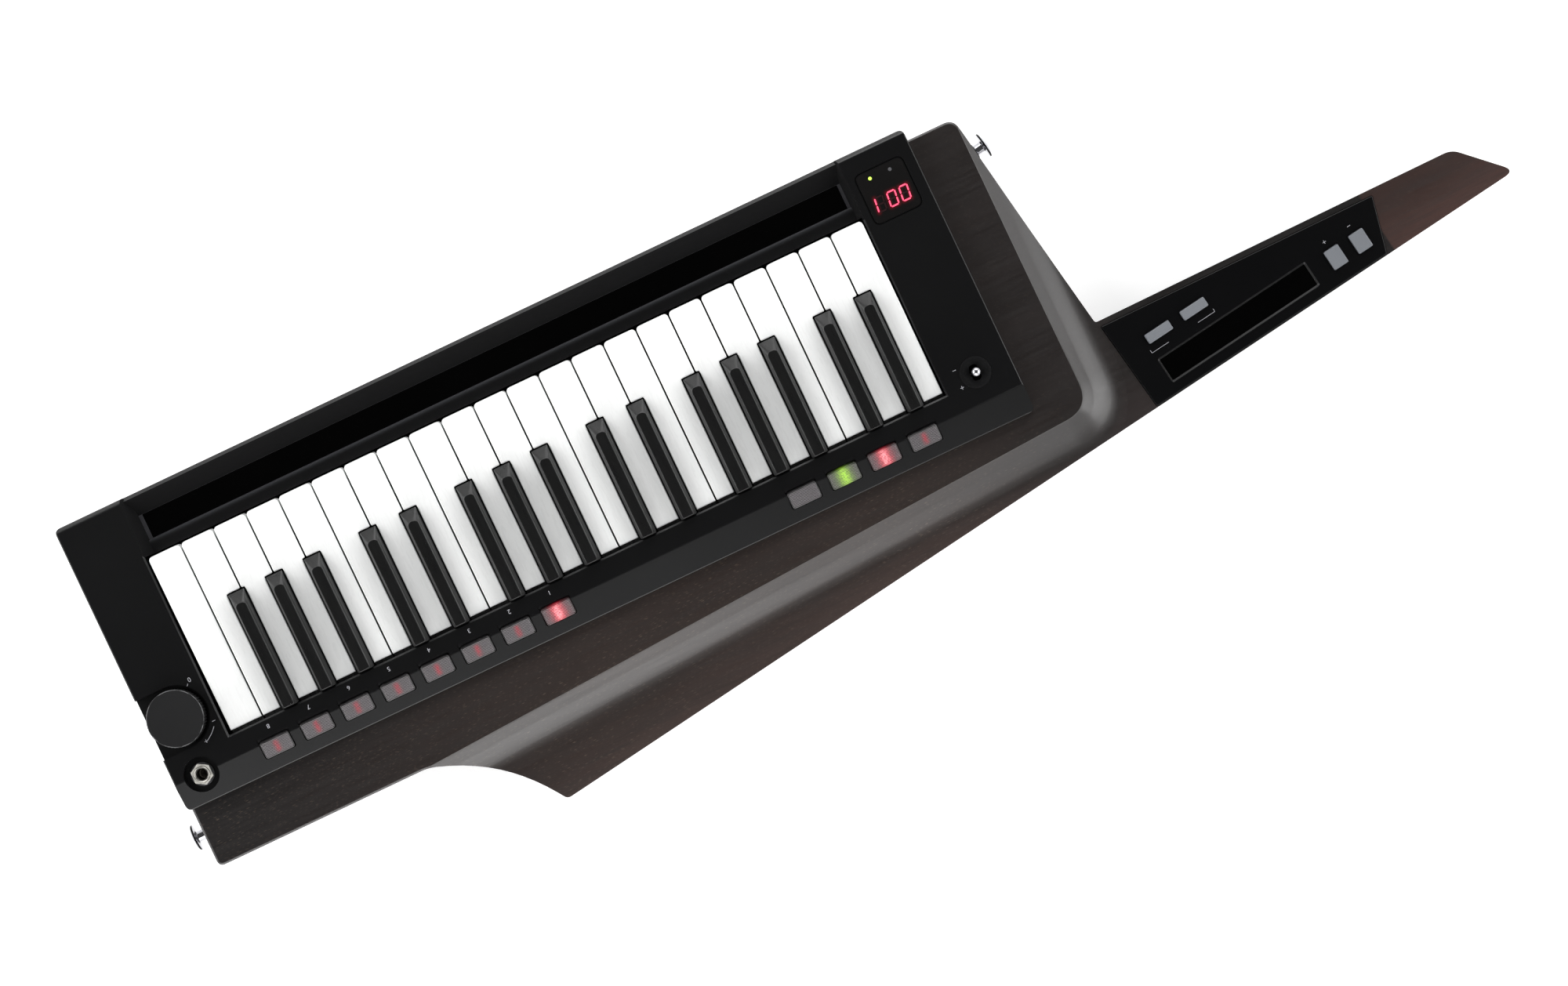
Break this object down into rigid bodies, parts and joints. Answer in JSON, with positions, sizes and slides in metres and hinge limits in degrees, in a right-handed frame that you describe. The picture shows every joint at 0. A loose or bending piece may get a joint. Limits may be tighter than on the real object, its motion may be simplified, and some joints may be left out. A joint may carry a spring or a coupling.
{
  "type": "keytar",
  "caption": "Strap-on keyboard with a wooden body and neck, hinged piano keys, lit rail buttons, a volume knob, a sprung lever and touch strips.",
  "frame": {"origin": "middle of the whole outline, on the flat back", "axes": "+X along the keyboard towards the neck's tip, +Y towards the fronts of the keys, +Z out of the playing face"},
  "size_m": [0.8312, 0.2582, 0.062],
  "materials": {
    "stained_wood": "dark stained wood with a satin open-pore lacquer",
    "black_case": "black satin textured coat",
    "cover_plastic": "fine spark texture",
    "jack_metal": "nickel-plated brass",
    "black_panel": "satin moulded",
    "knob_plastic": "satin, fluted rim",
    "chrome_metal": "polished chrome",
    "white_key": "polished moulded",
    "black_key": "satin moulded",
    "pale_cap": "satin moulded, pale lilac grey",
    "lamp_cap": "translucent smoke grey, finely ribbed"
  },
  "bodies": {
    "instrument": {"wood_body": "stained_wood", "top_case": "black_case", "lower_case": "cover_plastic", "output_jack": "jack_metal", "neck_panel": "black_panel"},
    "volume_knob": {"volume_knob": "knob_plastic"},
    "sound_lever": {"sound_lever": "chrome_metal"},
    "program_button_8": {"program_button_8": "lamp_cap"},
    "program_button_7": {"program_button_7": "lamp_cap"},
    "program_button_6": {"program_button_6": "lamp_cap"},
    "program_button_5": {"program_button_5": "lamp_cap"},
    "program_button_4": {"program_button_4": "lamp_cap"},
    "program_button_3": {"program_button_3": "lamp_cap"},
    "program_button_2": {"program_button_2": "lamp_cap"},
    "program_button_1": {"program_button_1": "lamp_cap"},
    "shift_button": {"shift_button": "lamp_cap"},
    "ribbon_button": {"ribbon_button": "lamp_cap"},
    "arpeggio_button": {"arpeggio_button": "lamp_cap"},
    "tap_button": {"tap_button": "lamp_cap"},
    "filter_button": {"filter_button": "pale_cap"},
    "pitch_button": {"pitch_button": "pale_cap"},
    "octave_up_button": {"octave_up_button": "pale_cap"},
    "octave_down_button": {"octave_down_button": "pale_cap"},
    "white_key_c3": {"white_key_c3": "white_key"},
    "black_key_c_sharp_3": {"black_key_c_sharp_3": "black_key"},
    "white_key_d3": {"white_key_d3": "white_key"},
    "black_key_d_sharp_3": {"black_key_d_sharp_3": "black_key"},
    "white_key_e3": {"white_key_e3": "white_key"},
    "white_key_f3": {"white_key_f3": "white_key"},
    "black_key_f_sharp_3": {"black_key_f_sharp_3": "black_key"},
    "white_key_g3": {"white_key_g3": "white_key"},
    "black_key_g_sharp_3": {"black_key_g_sharp_3": "black_key"},
    "white_key_a3": {"white_key_a3": "white_key"},
    "black_key_a_sharp_3": {"black_key_a_sharp_3": "black_key"},
    "white_key_b3": {"white_key_b3": "white_key"},
    "white_key_c4": {"white_key_c4": "white_key"},
    "black_key_c_sharp_4": {"black_key_c_sharp_4": "black_key"},
    "white_key_d4": {"white_key_d4": "white_key"},
    "black_key_d_sharp_4": {"black_key_d_sharp_4": "black_key"},
    "white_key_e4": {"white_key_e4": "white_key"},
    "white_key_f4": {"white_key_f4": "white_key"},
    "black_key_f_sharp_4": {"black_key_f_sharp_4": "black_key"},
    "white_key_g4": {"white_key_g4": "white_key"},
    "black_key_g_sharp_4": {"black_key_g_sharp_4": "black_key"},
    "white_key_a4": {"white_key_a4": "white_key"},
    "black_key_a_sharp_4": {"black_key_a_sharp_4": "black_key"},
    "white_key_b4": {"white_key_b4": "white_key"},
    "white_key_c5": {"white_key_c5": "white_key"},
    "black_key_c_sharp_5": {"black_key_c_sharp_5": "black_key"},
    "white_key_d5": {"white_key_d5": "white_key"},
    "black_key_d_sharp_5": {"black_key_d_sharp_5": "black_key"},
    "white_key_e5": {"white_key_e5": "white_key"},
    "white_key_f5": {"white_key_f5": "white_key"},
    "black_key_f_sharp_5": {"black_key_f_sharp_5": "black_key"},
    "white_key_g5": {"white_key_g5": "white_key"},
    "black_key_g_sharp_5": {"black_key_g_sharp_5": "black_key"},
    "white_key_a5": {"white_key_a5": "white_key"},
    "black_key_a_sharp_5": {"black_key_a_sharp_5": "black_key"},
    "white_key_b5": {"white_key_b5": "white_key"},
    "white_key_c6": {"white_key_c6": "white_key"}
  },
  "joints": [
    {"name": "volume_knob_turn", "type": "hinge", "parent": "instrument", "child": "volume_knob", "pos_m": [-0.38989, 0.00535, 0.0464], "axis": [0, 0, 1], "range_deg": [-150, 150]},
    {"name": "sound_lever_tilt", "type": "hinge", "parent": "instrument", "child": "sound_lever", "pos_m": [0.09421, -0.01105, 0.043], "axis": [1, 0, 0], "range_deg": [-14, 14], "stiffness_Nm_per_rad": 0.05},
    {"name": "program_button_8_press", "type": "slide", "parent": "instrument", "child": "program_button_8", "axis": [0, 0.2924, -0.9563], "range_m": [0, 0.001], "stiffness_N_per_m": 400, "springref_m": -0.001},
    {"name": "program_button_7_press", "type": "slide", "parent": "instrument", "child": "program_button_7", "axis": [0, 0.2924, -0.9563], "range_m": [0, 0.001], "stiffness_N_per_m": 400, "springref_m": -0.001},
    {"name": "program_button_6_press", "type": "slide", "parent": "instrument", "child": "program_button_6", "axis": [0, 0.2924, -0.9563], "range_m": [0, 0.001], "stiffness_N_per_m": 400, "springref_m": -0.001},
    {"name": "program_button_5_press", "type": "slide", "parent": "instrument", "child": "program_button_5", "axis": [0, 0.2924, -0.9563], "range_m": [0, 0.001], "stiffness_N_per_m": 400, "springref_m": -0.001},
    {"name": "program_button_4_press", "type": "slide", "parent": "instrument", "child": "program_button_4", "axis": [0, 0.2924, -0.9563], "range_m": [0, 0.001], "stiffness_N_per_m": 400, "springref_m": -0.001},
    {"name": "program_button_3_press", "type": "slide", "parent": "instrument", "child": "program_button_3", "axis": [0, 0.2924, -0.9563], "range_m": [0, 0.001], "stiffness_N_per_m": 400, "springref_m": -0.001},
    {"name": "program_button_2_press", "type": "slide", "parent": "instrument", "child": "program_button_2", "axis": [0, 0.2924, -0.9563], "range_m": [0, 0.001], "stiffness_N_per_m": 400, "springref_m": -0.001},
    {"name": "program_button_1_press", "type": "slide", "parent": "instrument", "child": "program_button_1", "axis": [0, 0.2924, -0.9563], "range_m": [0, 0.001], "stiffness_N_per_m": 400, "springref_m": -0.001},
    {"name": "shift_button_press", "type": "slide", "parent": "instrument", "child": "shift_button", "axis": [0, 0.2924, -0.9563], "range_m": [0, 0.001], "stiffness_N_per_m": 400, "springref_m": -0.001},
    {"name": "ribbon_button_press", "type": "slide", "parent": "instrument", "child": "ribbon_button", "axis": [0, 0.2924, -0.9563], "range_m": [0, 0.001], "stiffness_N_per_m": 400, "springref_m": -0.001},
    {"name": "arpeggio_button_press", "type": "slide", "parent": "instrument", "child": "arpeggio_button", "axis": [0, 0.2924, -0.9563], "range_m": [0, 0.001], "stiffness_N_per_m": 400, "springref_m": -0.001},
    {"name": "tap_button_press", "type": "slide", "parent": "instrument", "child": "tap_button", "axis": [0, 0.2924, -0.9563], "range_m": [0, 0.001], "stiffness_N_per_m": 400, "springref_m": -0.001},
    {"name": "filter_button_press", "type": "slide", "parent": "instrument", "child": "filter_button", "axis": [0, 0, -1], "range_m": [0, 0.001], "stiffness_N_per_m": 400, "springref_m": -0.001},
    {"name": "pitch_button_press", "type": "slide", "parent": "instrument", "child": "pitch_button", "axis": [0, 0, -1], "range_m": [0, 0.001], "stiffness_N_per_m": 400, "springref_m": -0.001},
    {"name": "octave_up_button_press", "type": "slide", "parent": "instrument", "child": "octave_up_button", "axis": [0, 0, -1], "range_m": [0, 0.001], "stiffness_N_per_m": 400, "springref_m": -0.001},
    {"name": "octave_down_button_press", "type": "slide", "parent": "instrument", "child": "octave_down_button", "axis": [0, 0, -1], "range_m": [0, 0.001], "stiffness_N_per_m": 400, "springref_m": -0.001},
    {"name": "white_key_c3_press", "type": "hinge", "parent": "instrument", "child": "white_key_c3", "pos_m": [0.06331, -0.02865, 0.038], "axis": [-1, 0, 0], "range_deg": [0, 2.6], "stiffness_Nm_per_rad": 1, "springref_deg": -3.44},
    {"name": "black_key_c_sharp_3_press", "type": "hinge", "parent": "instrument", "child": "black_key_c_sharp_3", "pos_m": [0.05571, -0.02865, 0.038], "axis": [-1, 0, 0], "range_deg": [0, 2.6], "stiffness_Nm_per_rad": 1, "springref_deg": -3.44},
    {"name": "white_key_d3_press", "type": "hinge", "parent": "instrument", "child": "white_key_d3", "pos_m": [0.04331, -0.02865, 0.038], "axis": [-1, 0, 0], "range_deg": [0, 2.6], "stiffness_Nm_per_rad": 1, "springref_deg": -3.44},
    {"name": "black_key_d_sharp_3_press", "type": "hinge", "parent": "instrument", "child": "black_key_d_sharp_3", "pos_m": [0.03091, -0.02865, 0.038], "axis": [-1, 0, 0], "range_deg": [0, 2.6], "stiffness_Nm_per_rad": 1, "springref_deg": -3.44},
    {"name": "white_key_e3_press", "type": "hinge", "parent": "instrument", "child": "white_key_e3", "pos_m": [0.02331, -0.02865, 0.038], "axis": [-1, 0, 0], "range_deg": [0, 2.6], "stiffness_Nm_per_rad": 1, "springref_deg": -3.44},
    {"name": "white_key_f3_press", "type": "hinge", "parent": "instrument", "child": "white_key_f3", "pos_m": [0.00331, -0.02865, 0.038], "axis": [-1, 0, 0], "range_deg": [0, 2.6], "stiffness_Nm_per_rad": 1, "springref_deg": -3.44},
    {"name": "black_key_f_sharp_3_press", "type": "hinge", "parent": "instrument", "child": "black_key_f_sharp_3", "pos_m": [-0.00339, -0.02865, 0.038], "axis": [-1, 0, 0], "range_deg": [0, 2.6], "stiffness_Nm_per_rad": 1, "springref_deg": -3.44},
    {"name": "white_key_g3_press", "type": "hinge", "parent": "instrument", "child": "white_key_g3", "pos_m": [-0.01669, -0.02865, 0.038], "axis": [-1, 0, 0], "range_deg": [0, 2.6], "stiffness_Nm_per_rad": 1, "springref_deg": -3.44},
    {"name": "black_key_g_sharp_3_press", "type": "hinge", "parent": "instrument", "child": "black_key_g_sharp_3", "pos_m": [-0.02669, -0.02865, 0.038], "axis": [-1, 0, 0], "range_deg": [0, 2.6], "stiffness_Nm_per_rad": 1, "springref_deg": -3.44},
    {"name": "white_key_a3_press", "type": "hinge", "parent": "instrument", "child": "white_key_a3", "pos_m": [-0.03669, -0.02865, 0.038], "axis": [-1, 0, 0], "range_deg": [0, 2.6], "stiffness_Nm_per_rad": 1, "springref_deg": -3.44},
    {"name": "black_key_a_sharp_3_press", "type": "hinge", "parent": "instrument", "child": "black_key_a_sharp_3", "pos_m": [-0.04999, -0.02865, 0.038], "axis": [-1, 0, 0], "range_deg": [0, 2.6], "stiffness_Nm_per_rad": 1, "springref_deg": -3.44},
    {"name": "white_key_b3_press", "type": "hinge", "parent": "instrument", "child": "white_key_b3", "pos_m": [-0.05669, -0.02865, 0.038], "axis": [-1, 0, 0], "range_deg": [0, 2.6], "stiffness_Nm_per_rad": 1, "springref_deg": -3.44},
    {"name": "white_key_c4_press", "type": "hinge", "parent": "instrument", "child": "white_key_c4", "pos_m": [-0.07669, -0.02865, 0.038], "axis": [-1, 0, 0], "range_deg": [0, 2.6], "stiffness_Nm_per_rad": 1, "springref_deg": -3.44},
    {"name": "black_key_c_sharp_4_press", "type": "hinge", "parent": "instrument", "child": "black_key_c_sharp_4", "pos_m": [-0.08429, -0.02865, 0.038], "axis": [-1, 0, 0], "range_deg": [0, 2.6], "stiffness_Nm_per_rad": 1, "springref_deg": -3.44},
    {"name": "white_key_d4_press", "type": "hinge", "parent": "instrument", "child": "white_key_d4", "pos_m": [-0.09669, -0.02865, 0.038], "axis": [-1, 0, 0], "range_deg": [0, 2.6], "stiffness_Nm_per_rad": 1, "springref_deg": -3.44},
    {"name": "black_key_d_sharp_4_press", "type": "hinge", "parent": "instrument", "child": "black_key_d_sharp_4", "pos_m": [-0.10909, -0.02865, 0.038], "axis": [-1, 0, 0], "range_deg": [0, 2.6], "stiffness_Nm_per_rad": 1, "springref_deg": -3.44},
    {"name": "white_key_e4_press", "type": "hinge", "parent": "instrument", "child": "white_key_e4", "pos_m": [-0.11669, -0.02865, 0.038], "axis": [-1, 0, 0], "range_deg": [0, 2.6], "stiffness_Nm_per_rad": 1, "springref_deg": -3.44},
    {"name": "white_key_f4_press", "type": "hinge", "parent": "instrument", "child": "white_key_f4", "pos_m": [-0.13669, -0.02865, 0.038], "axis": [-1, 0, 0], "range_deg": [0, 2.6], "stiffness_Nm_per_rad": 1, "springref_deg": -3.44},
    {"name": "black_key_f_sharp_4_press", "type": "hinge", "parent": "instrument", "child": "black_key_f_sharp_4", "pos_m": [-0.14339, -0.02865, 0.038], "axis": [-1, 0, 0], "range_deg": [0, 2.6], "stiffness_Nm_per_rad": 1, "springref_deg": -3.44},
    {"name": "white_key_g4_press", "type": "hinge", "parent": "instrument", "child": "white_key_g4", "pos_m": [-0.15669, -0.02865, 0.038], "axis": [-1, 0, 0], "range_deg": [0, 2.6], "stiffness_Nm_per_rad": 1, "springref_deg": -3.44},
    {"name": "black_key_g_sharp_4_press", "type": "hinge", "parent": "instrument", "child": "black_key_g_sharp_4", "pos_m": [-0.16669, -0.02865, 0.038], "axis": [-1, 0, 0], "range_deg": [0, 2.6], "stiffness_Nm_per_rad": 1, "springref_deg": -3.44},
    {"name": "white_key_a4_press", "type": "hinge", "parent": "instrument", "child": "white_key_a4", "pos_m": [-0.17669, -0.02865, 0.038], "axis": [-1, 0, 0], "range_deg": [0, 2.6], "stiffness_Nm_per_rad": 1, "springref_deg": -3.44},
    {"name": "black_key_a_sharp_4_press", "type": "hinge", "parent": "instrument", "child": "black_key_a_sharp_4", "pos_m": [-0.18999, -0.02865, 0.038], "axis": [-1, 0, 0], "range_deg": [0, 2.6], "stiffness_Nm_per_rad": 1, "springref_deg": -3.44},
    {"name": "white_key_b4_press", "type": "hinge", "parent": "instrument", "child": "white_key_b4", "pos_m": [-0.19669, -0.02865, 0.038], "axis": [-1, 0, 0], "range_deg": [0, 2.6], "stiffness_Nm_per_rad": 1, "springref_deg": -3.44},
    {"name": "white_key_c5_press", "type": "hinge", "parent": "instrument", "child": "white_key_c5", "pos_m": [-0.21669, -0.02865, 0.038], "axis": [-1, 0, 0], "range_deg": [0, 2.6], "stiffness_Nm_per_rad": 1, "springref_deg": -3.44},
    {"name": "black_key_c_sharp_5_press", "type": "hinge", "parent": "instrument", "child": "black_key_c_sharp_5", "pos_m": [-0.22429, -0.02865, 0.038], "axis": [-1, 0, 0], "range_deg": [0, 2.6], "stiffness_Nm_per_rad": 1, "springref_deg": -3.44},
    {"name": "white_key_d5_press", "type": "hinge", "parent": "instrument", "child": "white_key_d5", "pos_m": [-0.23669, -0.02865, 0.038], "axis": [-1, 0, 0], "range_deg": [0, 2.6], "stiffness_Nm_per_rad": 1, "springref_deg": -3.44},
    {"name": "black_key_d_sharp_5_press", "type": "hinge", "parent": "instrument", "child": "black_key_d_sharp_5", "pos_m": [-0.24909, -0.02865, 0.038], "axis": [-1, 0, 0], "range_deg": [0, 2.6], "stiffness_Nm_per_rad": 1, "springref_deg": -3.44},
    {"name": "white_key_e5_press", "type": "hinge", "parent": "instrument", "child": "white_key_e5", "pos_m": [-0.25669, -0.02865, 0.038], "axis": [-1, 0, 0], "range_deg": [0, 2.6], "stiffness_Nm_per_rad": 1, "springref_deg": -3.44},
    {"name": "white_key_f5_press", "type": "hinge", "parent": "instrument", "child": "white_key_f5", "pos_m": [-0.27669, -0.02865, 0.038], "axis": [-1, 0, 0], "range_deg": [0, 2.6], "stiffness_Nm_per_rad": 1, "springref_deg": -3.44},
    {"name": "black_key_f_sharp_5_press", "type": "hinge", "parent": "instrument", "child": "black_key_f_sharp_5", "pos_m": [-0.28339, -0.02865, 0.038], "axis": [-1, 0, 0], "range_deg": [0, 2.6], "stiffness_Nm_per_rad": 1, "springref_deg": -3.44},
    {"name": "white_key_g5_press", "type": "hinge", "parent": "instrument", "child": "white_key_g5", "pos_m": [-0.29669, -0.02865, 0.038], "axis": [-1, 0, 0], "range_deg": [0, 2.6], "stiffness_Nm_per_rad": 1, "springref_deg": -3.44},
    {"name": "black_key_g_sharp_5_press", "type": "hinge", "parent": "instrument", "child": "black_key_g_sharp_5", "pos_m": [-0.30669, -0.02865, 0.038], "axis": [-1, 0, 0], "range_deg": [0, 2.6], "stiffness_Nm_per_rad": 1, "springref_deg": -3.44},
    {"name": "white_key_a5_press", "type": "hinge", "parent": "instrument", "child": "white_key_a5", "pos_m": [-0.31669, -0.02865, 0.038], "axis": [-1, 0, 0], "range_deg": [0, 2.6], "stiffness_Nm_per_rad": 1, "springref_deg": -3.44},
    {"name": "black_key_a_sharp_5_press", "type": "hinge", "parent": "instrument", "child": "black_key_a_sharp_5", "pos_m": [-0.32999, -0.02865, 0.038], "axis": [-1, 0, 0], "range_deg": [0, 2.6], "stiffness_Nm_per_rad": 1, "springref_deg": -3.44},
    {"name": "white_key_b5_press", "type": "hinge", "parent": "instrument", "child": "white_key_b5", "pos_m": [-0.33669, -0.02865, 0.038], "axis": [-1, 0, 0], "range_deg": [0, 2.6], "stiffness_Nm_per_rad": 1, "springref_deg": -3.44},
    {"name": "white_key_c6_press", "type": "hinge", "parent": "instrument", "child": "white_key_c6", "pos_m": [-0.35669, -0.02865, 0.038], "axis": [-1, 0, 0], "range_deg": [0, 2.6], "stiffness_Nm_per_rad": 1, "springref_deg": -3.44}
  ]
}
